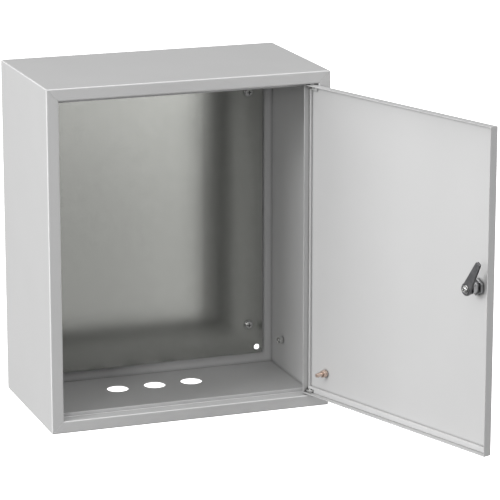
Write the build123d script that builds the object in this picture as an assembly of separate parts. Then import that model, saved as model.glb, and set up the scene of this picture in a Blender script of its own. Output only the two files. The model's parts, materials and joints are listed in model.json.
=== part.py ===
from build123d import *
import math
import os

# Wall enclosure of folded sheet steel with one hinged door.
# Millimetres. The rear face lies on Y = 0 and is centred on the origin,
# the door side faces -Y, and +Z is up.

# Driving dimensions of the body
body_width = 422.0
body_height = 500.0
body_depth = 239.0
sheet = 1.2
bend_inside = 0.8
front_flange = 18.0
rebate_depth = 20.0
hinge_side_stop = 10.0
lock_side_stop = 4.0
end_stop = 6.0

# Door leaf
door_gap = 1.65
door_flange = 13.5
photo_opening = 109.5

# Hinges: the pivot is set in from the leaf's hinge edge and behind its outer face
pivot_inset = 7.2
pivot_depth = 5.0
pin_radius = 2.5
pin_head_radius = 3.5
pin_head_height = 2.0
pin_overrun = 1.0
pin_running_gap = 0.05
pin_sheet_gap = 0.1
pin_passing_gap = 0.4
hinge_block_back = 14.0
hinge_block_height = 8.0
hinge_block_half = 7.8
hinge_plate_length = 11.0
hinge_plate_reach = 9.6
hinge_plate_thickness = 4.0
hinge_washer_radius = 4.6
hinge_lift = 0.3

# Wall fixing holes and cable entries
fixing_inset = 26.0
fixing_radius = 4.25
entry_radius = 16.25
entry_pitch = 58.0
entry_count = 3
entry_from_rear = 61.0

# Mounting panel with its spacers and screws
panel_side_gap = 19.8
panel_base_gap = 18.8
panel_top_gap = 26.2
panel_sheet = 1.5
panel_standoff = 5.3
panel_corner = 3.0
panel_access_inset = 27.4
panel_access_radius = 5.5
panel_screw_inset = 22.2
panel_screw_end_inset = 45.8
panel_hole_gap = 0.3
spacer_radius = 6.0
screw_radius = 3.0
screw_head_radius = 5.5
screw_head_height = 3.4
screw_end_gap = 0.5
washer_radius = 7.0
washer_thickness = 1.2

# Earth studs of body and door
stud_radius = 3.0
stud_base_radius = 4.5
stud_base_height = 1.0
body_stud_length = 9.0
body_stud_from_rear = 51.0
body_stud_from_base = 48.4
door_stud_length = 18.0
door_stud_from_hinge = 37.6
door_stud_from_end = 36.35
stud_nut_flats = 10.0
stud_nut_height = 5.0
stud_washer_radius = 5.5
stud_washer_thickness = 1.2

# Quarter-turn lock. Depths run inward from the outer face of the leaf.
lock_inset = 30.0
lock_height = 3.0
lock_head_radius = 12.0
lock_head_height = 4.0
barrel_radius = 8.0
barrel_flats = 14.0
barrel_length = 17.0
barrel_hole_gap = 0.2
lock_nut_flats = 21.0
lock_nut_height = 5.0
plug_radius = 6.0
plug_flange_radius = 9.0
plug_flange_height = 1.8
plug_face_sink = 0.3
plug_running_gap = 0.05
plug_shoulder_radius = 5.2
key_recess_radius = 4.6
key_recess_depth = 8.0
key_pin_radius = 1.5
key_bit_span = 6.4
key_bit_width = 1.6
cam_clearance = 0.8
cam_thickness = 3.0
cam_root_width = 16.0
cam_tip_width = 8.0
cam_hub_radius = 9.0
cam_length = 46.8
cam_tip_chamfer = 1.5
cam_lean = 29.0
tail_flats = 7.0
tail_clearance = 0.1
cam_washer_radius = 6.0
cam_washer_thickness = 1.0
cam_screw_radius = 2.5
cam_screw_head_radius = 4.4
cam_screw_head_height = 3.0
cam_screw_depth = 10.0
cross_slot_share = 0.6
cross_slot_width = 1.3
cross_slot_depth = 1.8

# Worked out from the driving dimensions
bend_outside = bend_inside + sheet
half_width = body_width / 2
half_height = body_height / 2
front = -body_depth
opening_half_width = half_width - front_flange
opening_half_height = half_height - front_flange
leaf_width = 2 * (opening_half_width - door_gap)
leaf_height = 2 * (opening_half_height - door_gap)
leaf_edge = leaf_width / 2
leaf_end = leaf_height / 2
pivot_x = leaf_edge - pivot_inset
pivot_y = front + pivot_depth
hinge_axis = Axis((pivot_x, pivot_y, 0), (0, 0, 1))
panel_width = body_width - 2 * panel_side_gap
panel_height = body_height - panel_base_gap - panel_top_gap
panel_centre = (panel_base_gap - panel_top_gap) / 2
panel_front = -(sheet + panel_standoff + panel_sheet)
panel_back = panel_front + panel_sheet
lock_x = -leaf_edge + lock_inset
cam_front = front + rebate_depth + sheet + cam_clearance
cam_back = cam_front + cam_thickness
barrel_end = front + barrel_length


def save(shape, node):
    """Write one named piece as its own STEP file."""
    export_step(shape, os.path.join("parts", node + ".step"))


def rod(radius, start, end, direction):
    """Round bar from point start, along a unit direction, for the length end."""
    plane = Plane(origin=start, z_dir=direction)
    return extrude(plane * Circle(radius), amount=end)


def hexagon_bar(flats, start, height, direction):
    """Hexagonal bar given by its width across flats."""
    plane = Plane(origin=start, z_dir=direction)
    return extrude(plane * RegularPolygon(flats / 2, 6, major_radius=False), amount=height)


def ring(outer, inner, start, height, direction):
    """Flat ring such as a washer."""
    return rod(outer, start, height, direction) - rod(inner, start, height, direction)


def rounded_corners(face, places, radius):
    """Round the corners of a flat outline that lie at the given places."""
    chosen = [v for v in face.vertices() if min((Vector(v) - Vector(*p)).length for p in places) < sheet / 10]
    return fillet(chosen, radius)


def cross_recess(start, direction, span):
    """Cross-shaped driver recess, cut down from the top of a screw head."""
    plane = Plane(origin=start, z_dir=direction)
    arm = Rectangle(span, cross_slot_width) + Rectangle(cross_slot_width, span)
    return extrude(plane * arm, amount=-cross_slot_depth)


def pan_screw(shank_radius, head_radius, head_height, seat, direction, depth):
    """Pan-head screw whose head stands on the seat and whose shank runs back into it."""
    head = rod(head_radius, seat, head_height, direction)
    rim = head.edges().sort_by(SortBy.DISTANCE).filter_by(GeomType.CIRCLE)
    crown = seat + direction * head_height
    top = [edge for edge in rim if (edge.arc_center - crown).length < cross_slot_width / 10]
    head = chamfer(top, head_height / 3)
    head -= cross_recess(crown, direction, 2 * head_radius * cross_slot_share)
    return head + rod(shank_radius, seat, depth, direction * -1)


# Body sheets
def wall_profile(reach, stop):
    """Section of a body sheet: wall, front flange, rebate wall and door stop, all one folded strip."""
    wall_out = -reach
    flange_end = -reach + front_flange
    stop_end = flange_end + stop
    stop_front = front + rebate_depth
    stop_back = stop_front + sheet
    corners = [
        (wall_out, 0), (wall_out, front), (flange_end, front), (flange_end, stop_front),
        (stop_end, stop_front), (stop_end, stop_back), (flange_end - sheet, stop_back),
        (flange_end - sheet, front + sheet), (wall_out + sheet, front + sheet), (wall_out + sheet, 0),
    ]
    outline = make_face(Polyline(*corners, close=True))
    outline = rounded_corners(outline, [corners[1], corners[2], corners[6]], bend_outside)
    return rounded_corners(outline, [corners[3], corners[7], corners[8]], bend_inside)


def corner_waste(x, z, side):
    """Bar of waste outside the rounded edge where a wall meets its neighbour."""
    far = bend_outside + sheet
    square = Pos(x - sheet + far / 2, z + side * (sheet - far / 2)) * Rectangle(far, far)
    round_edge = Pos(x + bend_outside, z - side * bend_outside) * Circle(bend_outside)
    quarter = Pos(x + bend_outside, z - side * bend_outside) * Circle(2 * bend_outside)
    waste = (square & quarter) - round_edge
    return extrude(Plane.XZ.offset(-sheet) * waste, amount=body_depth + 2 * sheet)


def body_wall(reach, length, stop, turn):
    """One of the four body sheets, mitred at 45 degrees where it meets its neighbours."""
    wall = extrude(Plane.XY.offset(-length / 2) * wall_profile(reach, stop), amount=length)
    inner = front_flange + hinge_side_stop + sheet
    outer = -sheet
    wedge = make_face(Polyline(
        (-reach + outer, -length / 2 + outer), (-reach + inner, -length / 2 + inner),
        (-reach + inner, length / 2 - inner), (-reach + outer, length / 2 - outer), close=True))
    wall &= extrude(Plane.XZ.offset(-sheet) * wedge, amount=body_depth + 2 * sheet)
    for side in (-1, 1):
        wall -= corner_waste(-reach, side * length / 2, side)
    return wall.rotate(Axis.Y, turn)


def fixing_places():
    """The four wall fixing points, as X and Z pairs."""
    x = half_width - fixing_inset
    z = half_height - fixing_inset
    return [(-x, -z), (x, -z), (-x, z), (x, z)]


def entry_places():
    """The row of cable entries, as X values."""
    return [(i - (entry_count - 1) / 2) * entry_pitch for i in range(entry_count)]


def rear_sheet():
    """Flat rear sheet, welded in between the four walls, with the wall fixing holes."""
    plate = Box(body_width - 2 * sheet, sheet, body_height - 2 * sheet).move(Location((0, -sheet / 2, 0)))
    for x, z in fixing_places():
        plate -= rod(fixing_radius, (x, 0, z), sheet, (0, -1, 0))
    return plate


def pin_hole(side):
    """Hole through the rebate wall for the upper (side 1) or lower (side -1) hinge pin."""
    return rod(pin_radius + pin_sheet_gap, (pivot_x, pivot_y, side * opening_half_height), sheet, (0, 0, side))


def top_sheet():
    """Top sheet with the upper pin hole in its rebate wall."""
    return body_wall(half_height, body_width, end_stop, 90) - pin_hole(1)


def bottom_sheet():
    """Bottom sheet with the lower pin hole and the row of round cable entries near the rear."""
    wall = body_wall(half_height, body_width, end_stop, 270) - pin_hole(-1)
    for x in entry_places():
        wall -= rod(entry_radius, (x, -entry_from_rear, -half_height), sheet, (0, 0, 1))
    return wall


# Mounting panel
def panel_screw_places():
    """The four panel screws, as X and Z pairs."""
    x = panel_width / 2 - panel_screw_inset
    z = panel_height / 2 - panel_screw_end_inset
    return [(i * x, panel_centre + k * z) for i in (-1, 1) for k in (-1, 1)]


def mounting_panel():
    """Flat plate with screw holes, and an opening in front of each wall fixing."""
    plane = Plane.XZ.offset(-panel_back)
    blank = plane * Pos(0, panel_centre) * RectangleRounded(panel_width, panel_height, panel_corner)
    plate = extrude(blank, amount=panel_sheet)
    for x, z in panel_screw_places():
        plate -= rod(screw_radius + panel_hole_gap, (x, panel_back, z), panel_sheet, (0, -1, 0))
    access_x = half_width - panel_access_inset
    access_z = half_height - panel_access_inset
    for x in (-access_x, access_x):
        for z in (-access_z, access_z):
            plate -= rod(panel_access_radius, (x, panel_back, z), panel_sheet, (0, -1, 0))
    return plate


def panel_spacers():
    """Threaded spacers, welded on the rear sheet, that hold the panel off it."""
    made = []
    for x, z in panel_screw_places():
        made.append(ring(spacer_radius, screw_radius, (x, -sheet, z), panel_standoff, (0, -1, 0)))
    return Compound(children=made)


def panel_washers():
    made = []
    for x, z in panel_screw_places():
        made.append(ring(washer_radius, screw_radius + panel_hole_gap, (x, panel_front, z), washer_thickness, (0, -1, 0)))
    return Compound(children=made)


def panel_screws():
    made = []
    seat_y = panel_front - washer_thickness
    depth = -sheet - screw_end_gap - seat_y
    for x, z in panel_screw_places():
        made.append(pan_screw(screw_radius, screw_head_radius, screw_head_height,
                              Vector(x, seat_y, z), Vector(0, -1, 0), depth))
    return Compound(children=made)


# Earth studs
def earth_stud(foot, direction, length):
    """Weld stud with its round foot."""
    return rod(stud_base_radius, foot, stud_base_height, direction) + rod(stud_radius, foot, length, direction)


def stud_washer(foot, direction):
    seat = foot + direction * stud_base_height
    return ring(stud_washer_radius, stud_radius, seat, stud_washer_thickness, direction)


def stud_nut(foot, direction):
    seat = foot + direction * (stud_base_height + stud_washer_thickness)
    nut = hexagon_bar(stud_nut_flats, seat, stud_nut_height, direction)
    return nut - rod(stud_radius, seat, stud_nut_height, direction)


body_stud_foot = Vector(half_width - sheet, -body_stud_from_rear, -half_height + body_stud_from_base)
body_stud_direction = Vector(-1, 0, 0)
door_stud_foot = Vector(leaf_edge - door_stud_from_hinge, front + sheet, -leaf_end + door_stud_from_end)
door_stud_direction = Vector(0, 1, 0)


# Hinges. Each piece is made for the upper hinge, and the lower one is its mirror image.
def lower_copy(shape):
    return mirror(shape, about=Plane.XY)


def hinge_block():
    """Block welded behind the rebate wall, bored for the pin."""
    back_of_rebate = opening_half_height + sheet
    depth = hinge_block_back - sheet
    block = Box(2 * hinge_block_half, depth, hinge_block_height)
    block = block.move(Location((pivot_x, front + sheet + depth / 2, back_of_rebate + hinge_block_height / 2)))
    fold_side = block.edges().filter_by(Axis.X).group_by(Axis.Y)[0].sort_by(Axis.Z)[0]
    block = chamfer(fold_side, bend_outside - sheet + bend_inside)
    return block - rod(pin_radius, (pivot_x, pivot_y, back_of_rebate), hinge_block_height, (0, 0, 1))


def hinge_pin():
    """Headed pin that drops through block, rebate wall and leaf."""
    head_seat = opening_half_height + sheet + hinge_block_height
    tip = leaf_end - sheet - hinge_plate_thickness - pin_overrun
    pin = rod(pin_radius, (pivot_x, pivot_y, tip), head_seat - tip, (0, 0, 1))
    return pin + rod(pin_head_radius, (pivot_x, pivot_y, head_seat), pin_head_height, (0, 0, 1))


def hinge_washer():
    """Thrust washer between rebate wall and leaf."""
    thickness = door_gap - hinge_lift
    start = (pivot_x, pivot_y, opening_half_height - thickness)
    return ring(hinge_washer_radius, pin_radius, start, thickness, (0, 0, 1))


def hinge_plate():
    """Bored plate welded inside the leaf's upper flange, which turns on the pin."""
    under_flange = leaf_end - sheet
    outer = leaf_edge - sheet - bend_inside
    depth = hinge_plate_reach - sheet
    plate = Box(hinge_plate_length, depth, hinge_plate_thickness)
    plate = plate.move(Location((outer - hinge_plate_length / 2, front + sheet + depth / 2,
                                 under_flange - hinge_plate_thickness / 2)))
    fold_side = plate.edges().filter_by(Axis.X).group_by(Axis.Y)[0].sort_by(Axis.Z)[-1]
    plate = chamfer(fold_side, bend_inside)
    bore = rod(pin_radius + pin_running_gap, (pivot_x, pivot_y, under_flange - hinge_plate_thickness),
               hinge_plate_thickness, (0, 0, 1))
    return plate - bore


def lock_plane(depth):
    """Plane across the lock's axis at a depth, facing inward."""
    return Plane(origin=(lock_x, depth, lock_height), x_dir=(1, 0, 0), z_dir=(0, 1, 0))


# Door leaf
def leaf_blank(inset, start, end, radius):
    """Box of the leaf's outline with the bends along its front edges."""
    depth = end - start
    block = Box(leaf_width - 2 * inset, depth, leaf_height - 2 * inset)
    block = block.move(Location((0, start + depth / 2, 0)))
    return fillet(block.edges().group_by(Axis.Y)[0], radius)


def door_leaf():
    """Tray-shaped leaf: outer skin with a flange folded back on all four sides."""
    leaf = leaf_blank(0, front, front + door_flange, bend_outside)
    leaf -= leaf_blank(sheet, front + sheet, front + door_flange + sheet, bend_inside)
    hole = Circle(barrel_radius + barrel_hole_gap)
    hole &= Rectangle(barrel_flats + 2 * barrel_hole_gap, 2 * barrel_radius + 2 * sheet)
    leaf -= extrude(lock_plane(front) * hole, amount=sheet)
    for z in (leaf_end - sheet, -leaf_end):
        leaf -= rod(pin_radius + pin_passing_gap, (pivot_x, pivot_y, z), sheet, (0, 0, 1))
    return leaf


# Lock
def lock_rod(radius, start, end):
    """Round bar on the lock's axis between two depths."""
    return rod(radius, (lock_x, start, lock_height), end - start, (0, 1, 0))


def lock_housing():
    """Headed barrel with two flats, bored for the plug."""
    face = front - lock_head_height
    head = lock_rod(lock_head_radius, face, front)
    head = chamfer(head.edges().filter_by(GeomType.CIRCLE).sort_by(Axis.Y)[0], lock_head_height / 4)
    barrel = lock_rod(barrel_radius, front, barrel_end)
    barrel &= Box(barrel_flats, 2 * body_depth, 2 * barrel_radius).move(Location((lock_x, front, lock_height)))
    body = head + barrel
    body -= lock_rod(plug_radius + plug_running_gap, face, barrel_end)
    seat = plug_face_sink + plug_flange_height + plug_running_gap
    return body - lock_rod(plug_flange_radius + plug_running_gap, face, face + seat)


def lock_nut():
    """Hexagonal nut that clamps the barrel to the skin."""
    start = Vector(lock_x, front + sheet, lock_height)
    nut = hexagon_bar(lock_nut_flats, start, lock_nut_height, (0, 1, 0))
    return nut - lock_rod(barrel_radius, front + sheet, front + sheet + lock_nut_height)


def lock_plug():
    """Turning core with a double-bit recess in front and a square tail for the cam."""
    face = front - lock_head_height + plug_face_sink
    tail_end = cam_back - tail_clearance
    plug = lock_rod(plug_flange_radius, face, face + plug_flange_height)
    plug += lock_rod(plug_radius, face, barrel_end + plug_running_gap)
    plug += lock_rod(plug_shoulder_radius, barrel_end, cam_front)
    tail = lock_plane(cam_front) * Rectangle(tail_flats, tail_flats)
    plug += extrude(tail, amount=tail_end - cam_front)
    recess = Circle(key_recess_radius) - Circle(key_pin_radius) - Rectangle(key_bit_span, key_bit_width)
    plug -= extrude(lock_plane(face) * recess, amount=key_recess_depth)
    return plug - lock_rod(cam_screw_radius, tail_end - cam_screw_depth, tail_end)


def lock_cam():
    """Flat cam that narrows towards its tip and swings behind the door stop."""
    plane = Plane(origin=(lock_x, cam_front, lock_height), x_dir=(1, 0, 0), z_dir=(0, -1, 0))
    root = cam_root_width / 2
    tip = cam_tip_width / 2
    bar = make_face(Polyline((-root, 0), (root, 0), (tip, cam_length), (-tip, cam_length), close=True))
    bar = chamfer(bar.vertices().group_by(Axis.Y)[-1], cam_tip_chamfer)
    outline = bar + Circle(cam_hub_radius) - Rectangle(tail_flats + tail_clearance, tail_flats + tail_clearance)
    return extrude(plane * outline, amount=-cam_thickness)


def cam_washer():
    start = (lock_x, cam_back, lock_height)
    return ring(cam_washer_radius, cam_screw_radius, start, cam_washer_thickness, (0, 1, 0))


def cam_screw():
    seat = Vector(lock_x, cam_back + cam_washer_thickness, lock_height)
    depth = cam_washer_thickness + cam_screw_depth - screw_end_gap
    return pan_screw(cam_screw_radius, cam_screw_head_radius, cam_screw_head_height, seat, Vector(0, 1, 0), depth)


def leaned(shape):
    """Turn a piece of the lock core to the lean at which the cam rests, short of the door stop."""
    return shape.rotate(Axis((lock_x, front, lock_height), (0, -1, 0)), cam_lean)


def opened(shape):
    """Swing a piece that the leaf carries out to the opening it rests at."""
    return shape.rotate(hinge_axis, photo_opening)


os.makedirs("parts", exist_ok=True)

# Body
save(body_wall(half_width, body_height, lock_side_stop, 0), "left_side_sheet")
save(top_sheet(), "top_sheet")
save(body_wall(half_width, body_height, hinge_side_stop, 180), "right_side_sheet")
save(bottom_sheet(), "bottom_sheet")
save(rear_sheet(), "rear_sheet")
save(mounting_panel(), "mounting_panel")
save(panel_spacers(), "panel_spacers")
save(panel_washers(), "panel_washers")
save(panel_screws(), "panel_screws")
save(earth_stud(body_stud_foot, body_stud_direction, body_stud_length), "body_earth_stud")
save(stud_washer(body_stud_foot, body_stud_direction), "body_earth_washer")
save(stud_nut(body_stud_foot, body_stud_direction), "body_earth_nut")
save(hinge_block(), "upper_hinge_block")
save(hinge_pin(), "upper_hinge_pin")
save(hinge_washer(), "upper_hinge_washer")
save(lower_copy(hinge_block()), "lower_hinge_block")
save(lower_copy(hinge_pin()), "lower_hinge_pin")
save(lower_copy(hinge_washer()), "lower_hinge_washer")

# Door
save(opened(door_leaf()), "door_leaf")
save(opened(hinge_plate()), "upper_hinge_plate")
save(opened(lower_copy(hinge_plate())), "lower_hinge_plate")
save(opened(earth_stud(door_stud_foot, door_stud_direction, door_stud_length)), "door_earth_stud")
save(opened(stud_washer(door_stud_foot, door_stud_direction)), "door_earth_washer")
save(opened(stud_nut(door_stud_foot, door_stud_direction)), "door_earth_nut")
save(opened(lock_housing()), "lock_housing")
save(opened(lock_nut()), "lock_nut")

# Lock core
save(opened(leaned(lock_plug())), "lock_plug")
save(opened(leaned(lock_cam())), "lock_cam")
save(opened(leaned(cam_washer())), "cam_washer")
save(opened(leaned(cam_screw())), "cam_screw")
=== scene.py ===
# %% [markdown]
# A steel wall enclosure with its door open.
# The enclosure is a box of folded sheet steel, painted light grey. It has a bare galvanised
# mounting panel inside, a row of cable entries in its bottom, and one door on two concealed hinges.
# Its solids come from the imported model. They already have the right shape and the right place, so
# this lesson gives them their finishes, adds the screw threads and the foam strip in the door, and
# sets up the studio.

import json
import math

import bpy
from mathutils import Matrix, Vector


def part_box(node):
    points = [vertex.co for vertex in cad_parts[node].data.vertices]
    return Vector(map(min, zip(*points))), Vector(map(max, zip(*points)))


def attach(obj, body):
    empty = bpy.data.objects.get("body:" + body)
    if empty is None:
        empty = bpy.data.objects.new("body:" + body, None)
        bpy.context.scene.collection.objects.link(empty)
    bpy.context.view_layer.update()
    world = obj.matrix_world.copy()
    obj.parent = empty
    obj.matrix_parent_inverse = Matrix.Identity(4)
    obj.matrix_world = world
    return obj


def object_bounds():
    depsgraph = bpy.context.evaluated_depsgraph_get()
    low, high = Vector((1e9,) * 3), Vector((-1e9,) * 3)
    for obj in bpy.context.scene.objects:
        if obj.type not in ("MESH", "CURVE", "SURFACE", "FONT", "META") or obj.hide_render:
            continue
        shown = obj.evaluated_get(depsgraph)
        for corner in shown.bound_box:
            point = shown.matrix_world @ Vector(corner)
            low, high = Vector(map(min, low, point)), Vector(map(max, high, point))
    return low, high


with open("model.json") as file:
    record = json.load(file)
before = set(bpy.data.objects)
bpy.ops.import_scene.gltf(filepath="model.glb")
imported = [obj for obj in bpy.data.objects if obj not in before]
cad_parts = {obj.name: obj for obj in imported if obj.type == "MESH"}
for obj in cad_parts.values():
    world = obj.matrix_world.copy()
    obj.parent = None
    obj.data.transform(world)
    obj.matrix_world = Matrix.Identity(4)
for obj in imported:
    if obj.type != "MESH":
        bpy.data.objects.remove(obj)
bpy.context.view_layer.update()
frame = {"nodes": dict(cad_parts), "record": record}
nodes = frame["nodes"]

# %% [markdown]
# The camera stands to the left of the enclosure and a little above it, so the top, the left side and
# the inside of the open door all show. A long lens from four metres away keeps the edges of the box
# nearly parallel, which is how catalogue pictures are taken. Place, aim and lens were solved from the
# corners of the box in the photograph, so they are simply written down here.

# %% Camera
camera_place = Vector((-1.2534, -3.9549, 1.0113))
camera_turn = 0.3465
camera_tilt = 0.2516
camera_lens = 204.5

lens = bpy.data.cameras.new("photo_camera")
lens.lens = camera_lens
lens.clip_end = 60
camera = bpy.data.objects.new("photo_camera", lens)
camera.location = camera_place
camera.rotation_euler = (math.radians(90) - camera_tilt, 0, -camera_turn)
bpy.context.scene.collection.objects.link(camera)
bpy.context.scene.camera = camera
print("camera is", round(camera_place.length, 2), "m from the middle of the rear face")

# %% [markdown]
# Every finish below is a small tree of nodes. Three helpers keep those trees readable: one adds a node
# and sets its inputs, one joins two sockets, and one starts a new finish. All patterns are laid out in
# metres, in the object's own coordinates, so a grain of one millimetre is one millimetre on every
# sheet and travels with the door when it swings.

# %% Helpers that start a finish
def add_node(tree, kind, **values):
    """Add a node. A value whose name is an input sets that input, any other name is a setting."""
    made = tree.nodes.new(kind)
    for name, value in values.items():
        label = name.replace("_", " ")
        if label in made.inputs:
            made.inputs[label].default_value = value
        else:
            setattr(made, name, value)
    return made


def join(tree, start, end):
    tree.links.new(start, end)


def new_finish(name, **values):
    """A material with its surface shader and the object's own coordinates, ready for patterns."""
    material = bpy.data.materials.new(name)
    material.use_nodes = True
    tree = material.node_tree
    shader = tree.nodes["Principled BSDF"]
    for label, value in values.items():
        shader.inputs[label.replace("_", " ")].default_value = value
    place = add_node(tree, "ShaderNodeTexCoord").outputs["Object"]
    return material, tree, shader, place

# %% [markdown]
# Real surfaces are never one even colour. Each finish is therefore built from patterns: grey noise is
# mapped to a range, the range mixes two colours or sets the roughness, and the same noise can raise
# the surface a little. These five helpers are all that the patterns need.

# %% Helpers for patterns
def noise(tree, place, scale, detail=3.0, stretch=None):
    """Grey noise. The scale counts grains in a metre, and stretch draws them out along an axis."""
    if stretch:
        mapping = add_node(tree, "ShaderNodeMapping", Scale=stretch)
        join(tree, place, mapping.inputs["Vector"])
        place = mapping.outputs["Vector"]
    grain = add_node(tree, "ShaderNodeTexNoise", Scale=scale, Detail=detail)
    join(tree, place, grain.inputs["Vector"])
    return grain.outputs["Fac"]


def spread(tree, value, low, high, from_low=0.3, from_high=0.7):
    """Map the middle of a noise to the range from low to high."""
    made = add_node(tree, "ShaderNodeMapRange", From_Min=from_low, From_Max=from_high,
                    To_Min=low, To_Max=high)
    join(tree, value, made.inputs["Value"])
    return made.outputs["Result"]


def blend(tree, share, first, second):
    """Mix two colours. Either may be a colour or the socket of another node."""
    made = add_node(tree, "ShaderNodeMix", data_type="RGBA")
    join(tree, share, made.inputs["Factor"])
    for socket, colour in ((made.inputs[6], first), (made.inputs[7], second)):
        if isinstance(colour, tuple):
            socket.default_value = (*colour, 1)
        else:
            join(tree, colour, socket)
    return made.outputs[2]


def bump(tree, height, depth, below=None):
    """Raise the surface by a pattern. The depth is in metres, and bumps can be stacked."""
    made = add_node(tree, "ShaderNodeBump", Strength=1.0, Distance=depth)
    join(tree, height, made.inputs["Height"])
    if below:
        join(tree, below, made.inputs["Normal"])
    return made.outputs["Normal"]


def grey(level):
    return (level, level, level)

# %% [markdown]
# Wear, highlights and shade depend on shape. Handling rubs the sharp edges, a rounded edge or fold
# catches the light, which the paint shows as a painted highlight, and shade falls in the corners,
# which the finishes show as painted shade. Each of these helpers turns one of those places into a
# share from 0 to 1, which a finish then uses to mix in another colour. They look only at the shape,
# so they stay right when the door moves.

# %% Helpers that find edges, folds and corners
def edge_share(tree, radius, low, high):
    """Near 1 along sharp edges and 0 on flats: it compares the true normal with a rounded one."""
    rounded = add_node(tree, "ShaderNodeBevel", samples=6, Radius=radius)
    true_normal = add_node(tree, "ShaderNodeNewGeometry")
    dot = add_node(tree, "ShaderNodeVectorMath", operation="DOT_PRODUCT")
    join(tree, rounded.outputs["Normal"], dot.inputs[0])
    join(tree, true_normal.outputs["Normal"], dot.inputs[1])
    made = add_node(tree, "ShaderNodeMapRange", From_Min=high, From_Max=low, To_Min=0, To_Max=1)
    join(tree, dot.outputs["Value"], made.inputs["Value"])
    return made.outputs["Result"], rounded.outputs["Normal"]


def fold_share(tree, turn):
    """1 on the rounded folds of a sheet and 0 on its flats, which face along the sheet's own axes."""
    unturned = add_node(tree, "ShaderNodeVectorRotate", rotation_type="Z_AXIS", Angle=-turn)
    join(tree, add_node(tree, "ShaderNodeTexCoord").outputs["Normal"], unturned.inputs["Vector"])
    size = add_node(tree, "ShaderNodeVectorMath", operation="ABSOLUTE")
    join(tree, unturned.outputs["Vector"], size.inputs[0])
    parts = add_node(tree, "ShaderNodeSeparateXYZ")
    join(tree, size.outputs["Vector"], parts.inputs["Vector"])
    largest = parts.outputs["X"]
    for other in ("Y", "Z"):
        step = add_node(tree, "ShaderNodeMath", operation="MAXIMUM")
        join(tree, largest, step.inputs[0])
        join(tree, parts.outputs[other], step.inputs[1])
        largest = step.outputs["Value"]
    return spread(tree, largest, 1, 0, 0.80, 0.97)


def crevice_share(tree, reach):
    """Near 1 in corners and slots narrower than the reach, and 0 where the surface lies open."""
    made = add_node(tree, "ShaderNodeAmbientOcclusion", samples=8, Distance=reach)
    return spread(tree, made.outputs["AO"], 1, 0, 0.35, 0.95)

# %% [markdown]
# The sheets carry a baked powder coat. It flows out as it melts, so it is smooth but never flat: the
# surface keeps a faint orange peel with waves of one to two millimetres, and a much finer grain.
# Three noises at different scales give cloudy tone, peel and grain. The sharp edges and the outside
# of every fold are painted lighter, a painted highlight where the rounded bends catch the light. The
# edge helper finds the cut edges, and the fold helper finds the folds: a flat faces along one axis of
# the sheet, and a fold faces between two of them. The door is swung open, so its axes are turned back
# first, by the angle that the record gives from here to shut. Last, the crevice helper darkens the
# inner corners as painted shade, where shade falls.

# %% Powder coat
def powder_coat(name, tone, shift, turn, corner_shade, corner_shade_reach):
    """Shift moves the pattern, turn is the sheet's own turn, and the last two set how dark and how wide
    the painted shade in inner corners is.
    """
    material, tree, shader, place = new_finish(name, Specular_IOR_Level=0.45)
    moved = add_node(tree, "ShaderNodeMapping", Location=(shift, 0, 0))
    join(tree, place, moved.inputs["Vector"])
    place = moved.outputs["Vector"]
    clouds = noise(tree, place, 9, detail=4)
    peel = noise(tree, place, 620, detail=2)
    grain = noise(tree, place, 3200, detail=2)
    painted_edge_highlight, rounded = edge_share(tree, 0.0012, 0.80, 0.995)
    colour = blend(tree, spread(tree, clouds, 0, 1), grey(tone * 0.985), grey(tone * 1.015))
    colour = blend(tree, spread(tree, grain, 0, 0.35), colour, grey(tone * 0.95))
    # Painted shade: inner corners are mixed towards a quarter of the tone, where shade falls.
    painted_corner_shade = spread(tree, crevice_share(tree, corner_shade_reach), 0, corner_shade, 0, 1)
    colour = blend(tree, painted_corner_shade, colour, grey(tone * 0.25))
    # Painted highlight: sharp edges and folds are mixed towards a lighter grey, where rounded bends catch
    # the light.
    colour = blend(tree, spread(tree, painted_edge_highlight, 0, 0.8, 0, 1), colour, grey(tone * 1.25))
    colour = blend(tree, fold_share(tree, turn), colour, grey(tone * 1.35))
    join(tree, colour, shader.inputs["Base Color"])
    join(tree, spread(tree, peel, 0.36, 0.44), shader.inputs["Roughness"])
    surface = bump(tree, peel, 0.00002, below=rounded)
    join(tree, bump(tree, grain, 0.000006, below=surface), shader.inputs["Normal"])
    return material


paint_tone = 0.50
joints = {joint["name"]: joint for joint in frame["record"]["behaviour"]["joints"]}
door_swing = -math.radians(joints["door_hinge"]["range_deg"][0])
body_paint = powder_coat("body_powder_coat", paint_tone, shift=0.0, turn=0.0,
                         corner_shade=0.55, corner_shade_reach=0.006)
door_paint = powder_coat("door_powder_coat", paint_tone * 1.01, shift=3.7, turn=door_swing,
                         corner_shade=0.95, corner_shade_reach=0.004)
print("paint tone", paint_tone, "door open by", round(math.degrees(door_swing), 1), "degrees")

# %% [markdown]
# The mounting panel is left bare. It is steel dipped in zinc and then rolled smooth, so it is a dull
# mirror: it shows the bright doorway as a soft patch, and the dark walls as soft bands. The zinc has
# frozen in flat crystals, a centimetre or so across, that differ a little in tone and gloss. A
# Voronoi pattern is the natural choice for crystals, and a noise stretched upright gives the faint
# lines from the rolls.

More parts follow.
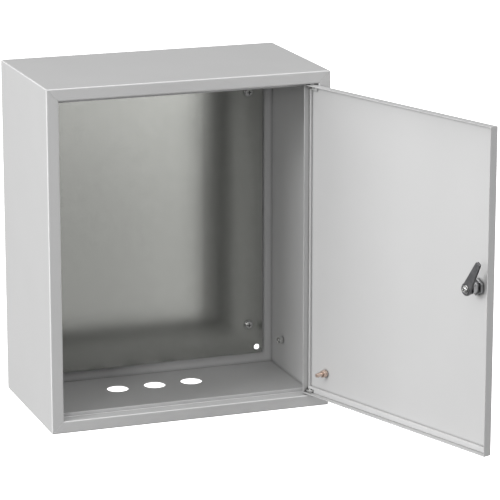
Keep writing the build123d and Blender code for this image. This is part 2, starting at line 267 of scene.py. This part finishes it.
# %% Galvanised steel
def galvanised():
    material, tree, shader, place = new_finish("galvanised_sheet", Metallic=1.0)
    crystals = add_node(tree, "ShaderNodeTexVoronoi", Scale=85.0, Randomness=1.0)
    warped = add_node(tree, "ShaderNodeMix", data_type="VECTOR", Factor=0.02)
    wobble = add_node(tree, "ShaderNodeTexNoise", Scale=130.0, Detail=2.0)
    join(tree, place, wobble.inputs["Vector"])
    join(tree, place, warped.inputs[4])
    join(tree, wobble.outputs["Color"], warped.inputs[5])
    join(tree, warped.outputs[1], crystals.inputs["Vector"])
    tone = add_node(tree, "ShaderNodeSeparateColor")
    join(tree, crystals.outputs["Color"], tone.inputs["Color"])
    rolled = noise(tree, place, 260, detail=3, stretch=(1, 1, 0.02))
    clouds = noise(tree, place, 7, detail=3)
    crystal_tone = spread(tree, tone.outputs["Red"], 0, 1, 0, 1)
    colour = blend(tree, crystal_tone, (0.47, 0.476, 0.449), (0.49, 0.496, 0.469))
    colour = blend(tree, spread(tree, clouds, 0, 0.5), colour, (0.465, 0.471, 0.444))
    # Painted shade: corners and the ground round washers and edges are darkened to near black, where shade
    # falls.
    painted_corner_shade = spread(tree, crevice_share(tree, 0.004), 0, 0.9, 0, 1)
    colour = blend(tree, painted_corner_shade, colour, (0.06, 0.06, 0.055))
    join(tree, colour, shader.inputs["Base Color"])
    gloss = add_node(tree, "ShaderNodeMath", operation="ADD")
    join(tree, spread(tree, tone.outputs["Green"], 0.18, 0.195, 0, 1), gloss.inputs[0])
    join(tree, spread(tree, rolled, 0, 0.03), gloss.inputs[1])
    join(tree, gloss.outputs["Value"], shader.inputs["Roughness"])
    join(tree, bump(tree, rolled, 0.000004), shader.inputs["Normal"])
    return material


panel_finish = galvanised()

# %% [markdown]
# The small metal parts differ in colour and gloss, but they are all plated metal with the same kind
# of life in it: cloudy tone, a fine scuff and edges that handling has rubbed brighter. Their slots
# and corners are darkened to near black as painted shade, which is what draws the outline of a screw
# head. One function builds them all. Screws and washers are zinc, the earth stud on the door is
# copper, the lock is chrome, and its cam is a darker, duller steel.

# %% Plated metal
def plated(name, dark, light, rubbed, rough, crevice_shade_reach=0.002, scuff=(1, 1, 1)):
    """Three colours, the least and most roughness, the reach of the painted shade in crevices, and the
    scuff's stretch.
    """
    material, tree, shader, place = new_finish(name, Metallic=1.0)
    clouds = noise(tree, place, 160, detail=4)
    scuffs = noise(tree, place, 1500, detail=3, stretch=scuff)
    worn, rounded = edge_share(tree, 0.0005, 0.75, 0.99)
    colour = blend(tree, spread(tree, clouds, 0, 1), dark, light)
    colour = blend(tree, spread(tree, worn, 0, 0.8, 0, 1), colour, rubbed)
    # Painted shade: slots and corners within the reach are darkened to near black.
    colour = blend(tree, spread(tree, crevice_share(tree, crevice_shade_reach), 0, 0.9, 0, 1), colour, grey(0.02))
    join(tree, colour, shader.inputs["Base Color"])
    join(tree, spread(tree, scuffs, *rough), shader.inputs["Roughness"])
    join(tree, bump(tree, scuffs, 0.000004, below=rounded), shader.inputs["Normal"])
    return material


zinc = plated("zinc_plating", (0.74, 0.74, 0.73), (0.86, 0.86, 0.85), (0.97, 0.97, 0.96),
              rough=(0.18, 0.30), crevice_shade_reach=0.003)
copper = plated("copper_plating", (0.74, 0.57, 0.49), (0.90, 0.73, 0.63), (0.95, 0.85, 0.76),
                rough=(0.22, 0.36), crevice_shade_reach=0.0012)
chrome = plated("lock_chrome_plating", (0.52, 0.52, 0.53), (0.62, 0.62, 0.63), (0.96, 0.96, 0.97),
                rough=(0.06, 0.14), crevice_shade_reach=0.005)
cam_steel = plated("cam_pressed_steel", (0.11, 0.11, 0.115), (0.16, 0.16, 0.165), (0.62, 0.62, 0.62),
                   rough=(0.30, 0.44), scuff=(1, 1, 0.08))

# %% [markdown]
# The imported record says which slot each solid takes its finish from, so the finishes are handed out
# by slot. A solid keeps its shape and place: only what is in its material slots changes.

# %% Hand out the finishes
finish_of_slot = {
    "body_paint": body_paint, "door_paint": door_paint, "galvanised_steel": panel_finish,
    "zinc_plate": zinc, "copper_plate": copper, "lock_chrome": chrome, "cam_steel": cam_steel,
}
for part in frame["record"]["subparts"]:
    for slot in nodes[part["node"]].material_slots:
        slot.material = finish_of_slot[part["material_slot"]]

# %% [markdown]
# The studio floor is wide and pale, and it lies well below the enclosure, which hangs clear of it as it
# does on a wall. So the camera sees it through the cable entries, which show white, and the shadow on
# it melts away. The floor glows white, as in a catalogue picture. It is kept from throwing that white
# back up onto the steel, because the underside of the real box is in shade.

# %% Floor
def level_card(name, low, high, level, finish):
    """A level rectangle between two corners, which belongs to the studio and not to the enclosure."""
    mesh = bpy.data.meshes.new(name)
    corners = ((low[0], low[1]), (high[0], low[1]), (high[0], high[1]), (low[0], high[1]))
    mesh.from_pydata([(x, y, level) for x, y in corners], [], [(0, 1, 2, 3)])
    mesh.materials.append(finish)
    made = bpy.data.objects.new(name, mesh)
    bpy.context.scene.collection.objects.link(made)
    return made


floor_drop = 0.9
floor_half = 30.0
floor_glow = 1.10
floor_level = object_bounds()[0][2] - floor_drop

pale, pale_tree, pale_shader, pale_place = new_finish("studio_floor_paint", Roughness=0.9)
pale_shader.inputs["Emission Color"].default_value = (1, 1, 1, 1)
pale_shader.inputs["Emission Strength"].default_value = floor_glow
pale_clouds = spread(pale_tree, noise(pale_tree, pale_place, 0.5), 0, 1)
join(pale_tree, blend(pale_tree, pale_clouds, grey(0.94), grey(0.96)), pale_shader.inputs["Base Color"])
floor = level_card("studio_floor", (-floor_half, -floor_half), (floor_half, floor_half), floor_level, pale)
floor.visible_diffuse = False
floor.visible_glossy = False
print("floor lies", floor_drop, "m below the enclosure")

# %% [markdown]
# The mounting panel would mirror the bright room through the cable entries too, as pale arcs along its
# lower edge. Photographers keep such glints off with a flag, a card held just out of the picture. This
# one lies under the enclosure, glows as softly as the steel round the entries looks, and only mirror
# rays can see it.

# %% Grey flag under the entries
flag_gap = 0.01
flag_glow = 0.20
flag_finish, flag_tree, flag_shader, flag_place = new_finish("flag_cloth", Roughness=1.0)
flag_shader.inputs["Emission Color"].default_value = (1, 1, 1, 1)
flag_shader.inputs["Emission Strength"].default_value = flag_glow
flag_weave = spread(flag_tree, noise(flag_tree, flag_place, 900), 0, 1)
join(flag_tree, blend(flag_tree, flag_weave, grey(0.01), grey(0.02)), flag_shader.inputs["Base Color"])
bottom_low, bottom_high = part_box("bottom_sheet")
flag = level_card("grey_flag", bottom_low[:2], bottom_high[:2], bottom_low[2] - flag_gap, flag_finish)
flag.visible_camera = False
flag.visible_diffuse = False
flag.visible_shadow = False
print("flag lies", flag_gap, "m below the entries")

# %% [markdown]
# Six soft lights stand round the enclosure. The two on the left are the strong ones: the open door and
# the left side face them, so these come out lightest. One of them is large and its middle lies a
# little behind the box, so the box shades the door softly towards its hinges. The others reach into
# the box and lift its top. Bare metal shows what it mirrors, and from the camera the panel mirrors the
# room in front of the box, to the right and a little below. So four faint lamps hang there as cards.
# They are seen in the panel as a soft glow, and light almost nothing else.

# %% Lights
back_middle = (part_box("rear_sheet")[0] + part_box("top_sheet")[1]) / 2
light_distance = 4.5


def soft_light(name, direction, size, brightness):
    """A square lamp that looks at the box. Brightness is what a white card facing it would show."""
    bulb = bpy.data.lights.new(name, "AREA")
    bulb.size = size
    bulb.energy = brightness * math.pi ** 2 * light_distance ** 2
    made = bpy.data.objects.new(name, bulb)
    towards = Vector(direction).normalized()
    made.location = back_middle + towards * light_distance
    made.rotation_euler = towards.to_track_quat("Z", "Y").to_euler()
    bpy.context.scene.collection.objects.link(made)
    print(name, "gives", round(bulb.energy, 1), "W")


small_lamp, lamp, large_lamp, card = 1.0, 1.3, 2.1, 0.9
for name, direction, size, brightness in (
        ("key_light", (-0.754, -0.267, 0.30), lamp, 0.53),
        ("left_light", (-1.0, 0.08, 0.10), large_lamp, 0.475),
        ("left_front_light", (-0.6, -0.75, 0.2), small_lamp, 0.215),
        ("right_front_light", (0.7, -0.7, 0.1), lamp, 0.18),
        ("high_front_light", (0.0, -0.5, 0.85), lamp, 0.10),
        ("top_light", (0.0, -0.2, 1.0), lamp, 0.12),
        ("card_above", (0.301, -0.950, -0.087), card, 0.0125),
        ("card_right", (0.429, -0.879, -0.208), card, 0.017),
        ("card_left", (0.170, -0.963, -0.208), card, 0.002),
        ("card_below", (0.284, -0.896, -0.342), card, 0.003)):
    soft_light(name, direction, size, brightness)

# %% [markdown]
# The room round the lights is a ramp of grey from straight down to straight up. It is dark round the
# horizon and bright above, which gives the chrome of the lock its strong contrasts. The camera itself
# sees plain white instead, as the backdrop of a catalogue picture: the path of each ray says which of
# the two it gets.

# %% Surround
world = bpy.data.worlds.new("studio_surround")
world.use_nodes = True
sky = world.node_tree
up = add_node(sky, "ShaderNodeSeparateXYZ")
join(sky, add_node(sky, "ShaderNodeTexCoord").outputs["Generated"], up.inputs["Vector"])
heights = spread(sky, up.outputs["Z"], 0, 1, -1, 1)
ramp = add_node(sky, "ShaderNodeValToRGB")
join(sky, heights, ramp.inputs["Fac"])
sky_levels = ((-1.0, 0.0), (-0.34, 0.37), (-0.17, 0.21), (0.20, 0.0), (0.65, 0.91), (1.0, 0.76))
while len(ramp.color_ramp.elements) < len(sky_levels):
    ramp.color_ramp.elements.new(0.5)
for stop, (height, brightness) in zip(ramp.color_ramp.elements, sky_levels):
    stop.position = (height + 1) / 2
    stop.color = (*grey(brightness), 1)
surround = sky.nodes["Background"]
join(sky, ramp.outputs["Color"], surround.inputs["Color"])
backdrop = add_node(sky, "ShaderNodeBackground", Color=(1, 1, 1, 1))
chosen = add_node(sky, "ShaderNodeMixShader")
join(sky, add_node(sky, "ShaderNodeLightPath").outputs["Is Camera Ray"], chosen.inputs[0])
join(sky, surround.outputs[0], chosen.inputs[1])
join(sky, backdrop.outputs[0], chosen.inputs[2])
join(sky, chosen.outputs[0], sky.nodes["World Output"].inputs["Surface"])
bpy.context.scene.world = world
bpy.context.scene.view_settings.view_transform = "Standard"
print("surround has", len(sky_levels), "grey levels")

# %% [markdown]
# The two earth studs and the barrel of the lock have a screw thread. A thread is a small ridge that
# climbs round the bar, so it is built as a ribbon of four points, root, crest, crest and root,
# carried round a helix. The ridge fades out at both ends, as a rolled thread does. The barrel has two
# flats that keep it from turning in the door, and there the ridge sinks into the metal.

# %% Screw threads
steps = 24
ridge = ((-0.42, 0.0), (-0.10, 1.0), (0.10, 1.0), (0.42, 0.0))
ridge_sunk = 0.9
least_rise = 0.05


def screw_thread(name, foot, direction, start, end, radius, pitch, depth, flats=None):
    """A ridge wound round a bar. Start and end are measured along the bar from its foot."""
    direction = Vector(direction).normalized()
    side = flats[0] if flats else direction.orthogonal().normalized()
    across = direction.cross(side)
    count = int((end - start) / pitch * steps)
    points = []
    for i in range(count + 1):
        angle = 2 * math.pi * i / steps
        fade = min(1.0, 2 * i / steps, 2 * (count - i) / steps)
        along = start + (end - start) * i / count
        for shift, rise in ridge:
            out = radius - depth * ridge_sunk + depth * rise * max(fade, least_rise)
            sideways = out * math.cos(angle)
            if flats:
                sideways = max(-flats[1], min(flats[1], sideways))
            ring = side * sideways + across * out * math.sin(angle)
            points.append(foot + direction * (along + shift * pitch) + ring)
    faces = []
    width = len(ridge)
    for i in range(count):
        for k in range(width):
            a = i * width + k
            b = i * width + (k + 1) % width
            faces.append((a, a + width, b + width, b))
    faces.append(tuple(range(width)))
    faces.append(tuple(count * width + k for k in range(width))[::-1])
    mesh = bpy.data.meshes.new(name)
    mesh.from_pydata(points, [], faces)
    made = bpy.data.objects.new(name, mesh)
    bpy.context.scene.collection.objects.link(made)
    print(name, "has", len(faces), "faces")
    return made


def finish_piece(piece, body, slot):
    """Give a new piece the finish of a slot, and let it ride on a body."""
    piece.data.materials.append(finish_of_slot[slot])
    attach(piece, body)

# %% [markdown]
# A thread has to sit exactly on its bar, so its place is measured from the solids: the bar's foot and
# length, and how far the nut reaches along it, because the thread starts where the nut ends. The door
# is open, so the directions along the leaf and out of its inner side are turned with it.

# %% Wind the threads
def bar_line(name, towards):
    """Foot and length of a bar, along the direction it points in."""
    corners = [v.co for v in nodes[name].data.vertices]
    across = towards.orthogonal().normalized()
    foot = Vector((0, 0, 0))
    for axis in (across, towards.cross(across)):
        reach = [v.dot(axis) for v in corners]
        foot += axis * (min(reach) + max(reach)) / 2
    reach = [v.dot(towards) for v in corners]
    return foot + towards * min(reach), max(reach) - min(reach)


def top_of(name, foot, towards):
    """How far a piece reaches along the bar, from the bar's foot."""
    return max((v.co - foot).dot(towards) for v in nodes[name].data.vertices)


along_leaf = Vector((math.cos(door_swing), math.sin(door_swing), 0))
into_leaf = Vector((-math.sin(door_swing), math.cos(door_swing), 0))
barrel_flat = 0.00695
for body, bar, nut, slot, towards, radius, pitch, depth, flats in (
        ("cabinet", "body_earth_stud", "body_earth_nut", "zinc_plate", Vector((-1, 0, 0)),
         0.003, 0.001, 0.0006, None),
        ("door", "door_earth_stud", "door_earth_nut", "copper_plate", into_leaf,
         0.003, 0.001, 0.0006, None),
        ("door", "lock_housing", "lock_nut", "lock_chrome", into_leaf,
         0.008, 0.0015, 0.0009, (along_leaf, barrel_flat))):
    foot, length = bar_line(bar, towards)
    thread = screw_thread(bar + "_thread", foot, towards, top_of(nut, foot, towards) + pitch / 3,
                          length - pitch / 3, radius, pitch, depth, flats)
    finish_piece(thread, body, slot)

# %% [markdown]
# Along the inside of the door's flanges lies a strip of foam, poured from a nozzle as a bead that
# spreads and sets. It is closer to rubber than to paint: dull, a shade lighter than the leaf, and full
# of very fine pores, with slow waves where the bead ran thicker or thinner.

# %% Foam
def foam(tone):
    material, tree, shader, place = new_finish("seal_foam", Specular_IOR_Level=0.25)
    waves = noise(tree, place, 40, detail=2)
    pores = noise(tree, place, 2600, detail=2)
    colour = blend(tree, spread(tree, waves, 0, 1), grey(tone * 0.97), grey(tone * 1.03))
    colour = blend(tree, spread(tree, pores, 0, 0.4), colour, grey(tone * 0.85))
    worn, rounded = edge_share(tree, 0.0008, 0.80, 0.995)
    colour = blend(tree, spread(tree, worn, 0, 0.5, 0, 1), colour, grey(tone * 1.1))
    join(tree, colour, shader.inputs["Base Color"])
    join(tree, spread(tree, pores, 0.7, 0.85), shader.inputs["Roughness"])
    surface = bump(tree, waves, 0.0001, below=rounded)
    join(tree, bump(tree, pores, 0.00003, below=surface), shader.inputs["Normal"])
    return material


seal_foam = foam(paint_tone * 1.03)

# %% [markdown]
# The strip of foam in the door is a closed ring. It is drawn as if the door were shut, where the leaf
# lies square to the axes and its corners are easy to write down in millimetres, and then every point
# is turned with the door about the line of the hinges. Eight pairs of points, outer and inner, give
# its plan, with a step round each hinge plate. A crowned section is carried from pair to pair.

# %% Foam strip in the door
millimetre = 0.001
hinge_line = Vector(joints["door_hinge"]["pos_m"])


def foam_strip(name, pairs, section, foot_level):
    """A ring. A section point is a share of the way from the outer to the inner line, and a height."""
    points = []
    for outer, inner in pairs:
        for share, height in section:
            x = outer[0] + (inner[0] - outer[0]) * share
            z = outer[1] + (inner[1] - outer[1]) * share
            shut = Vector((x, foot_level + height, z)) * millimetre - hinge_line
            turned = along_leaf * shut.x + into_leaf * shut.y + Vector((0, 0, shut.z))
            points.append(hinge_line + turned)
    width = len(section)
    faces = []
    for i in range(len(pairs)):
        for k in range(width):
            a, b = i * width + k, i * width + (k + 1) % width
            next_row = width if i + 1 < len(pairs) else -i * width
            faces.append((a, a + next_row, b + next_row, b))
    mesh = bpy.data.meshes.new(name)
    mesh.from_pydata(points, [], faces)
    made = bpy.data.objects.new(name, mesh)
    bpy.context.scene.collection.objects.link(made)
    print(name, "has", len(faces), "faces")
    return made


leaf_inside = -237.8
strip_plan = (
    ((-190.1, 229.1), (-186.8, 225.9)), ((177.9, 229.1), (174.9, 225.9)),
    ((177.9, 224.8), (174.9, 221.6)), ((190.1, 224.8), (186.8, 221.6)),
    ((190.1, -224.8), (186.8, -221.3)), ((177.9, -224.8), (179.0, -221.3)),
    ((177.9, -229.1), (176.0, -221.3)), ((-190.1, -229.1), (-186.8, -221.3)))
strip_section = ((0.0, 0.0), (0.0, 2.9), (0.3, 3.0), (0.7, 3.0), (0.9, 2.6), (1.0, 2.0), (1.0, 0.0))
strip = foam_strip("door_seal", strip_plan, strip_section, leaf_inside)
strip.data.materials.append(seal_foam)
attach(strip, "door")
